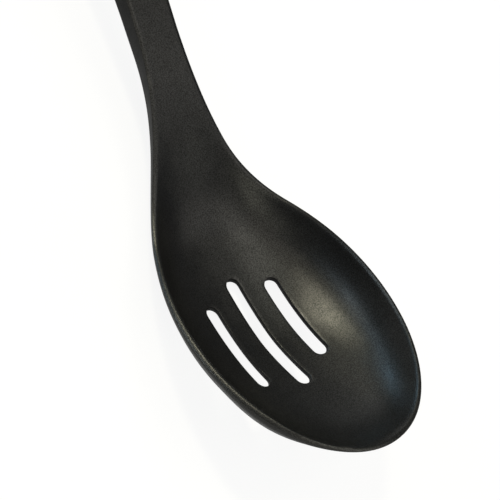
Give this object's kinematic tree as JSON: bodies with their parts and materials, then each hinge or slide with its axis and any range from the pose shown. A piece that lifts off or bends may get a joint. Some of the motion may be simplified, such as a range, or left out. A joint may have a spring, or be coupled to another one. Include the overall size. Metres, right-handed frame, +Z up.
{
  "type": "slotted serving spoon",
  "caption": "Serving spoon with a deep oval slotted bowl, a curved neck and a pinned handle with a soft grip sleeve and a hole to hang it by.",
  "frame": {"origin": "middle of the spoon's box on the table that it rests on, with the bowl and the end of the handle on Z = 0", "axes": "+X from the bowl's tip to the end of the handle, +Y across the bowl, +Z up"},
  "size_m": [0.3384, 0.066, 0.0443],
  "materials": {
    "nylon": "satin black nylon with a fine grain",
    "hard_plastic": "black moulded plastic with a low gloss",
    "soft_grip": "matt black soft grip",
    "steel": "drawn steel pin"
  },
  "bodies": {
    "root": {"spoon_head": "nylon", "front_collar": "hard_plastic", "handle_core": "hard_plastic", "grip_sleeve": "soft_grip", "end_cap": "hard_plastic", "retaining_pins": "steel"}
  },
  "joints": []
}
